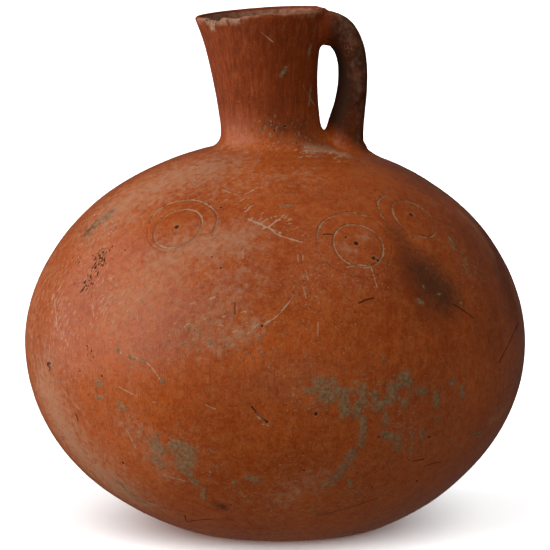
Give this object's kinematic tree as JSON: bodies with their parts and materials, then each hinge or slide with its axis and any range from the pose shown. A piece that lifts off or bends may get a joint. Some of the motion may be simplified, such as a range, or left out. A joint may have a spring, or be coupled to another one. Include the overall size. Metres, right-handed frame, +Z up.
{
  "type": "terracotta jug",
  "caption": "Round-bodied terracotta jug with a leaning flared neck, one strap handle, a small flat foot and incised circles on the shoulder.",
  "frame": {"origin": "middle of the jug's box at its underside, on the surface that it stands on", "axes": "+Z up; the mouth pours towards -X, the handle is on the +X side, the side with the clearest incised circles faces -Y"},
  "size_m": [0.4, 0.4, 0.4132],
  "materials": {
    "burnished_terracotta": "low-fired red-brown clay, burnished to a soft sheen, worn, with pale lime deposits and grey-black smoke stains"
  },
  "bodies": {
    "root": {"jug": "burnished_terracotta"}
  },
  "joints": []
}
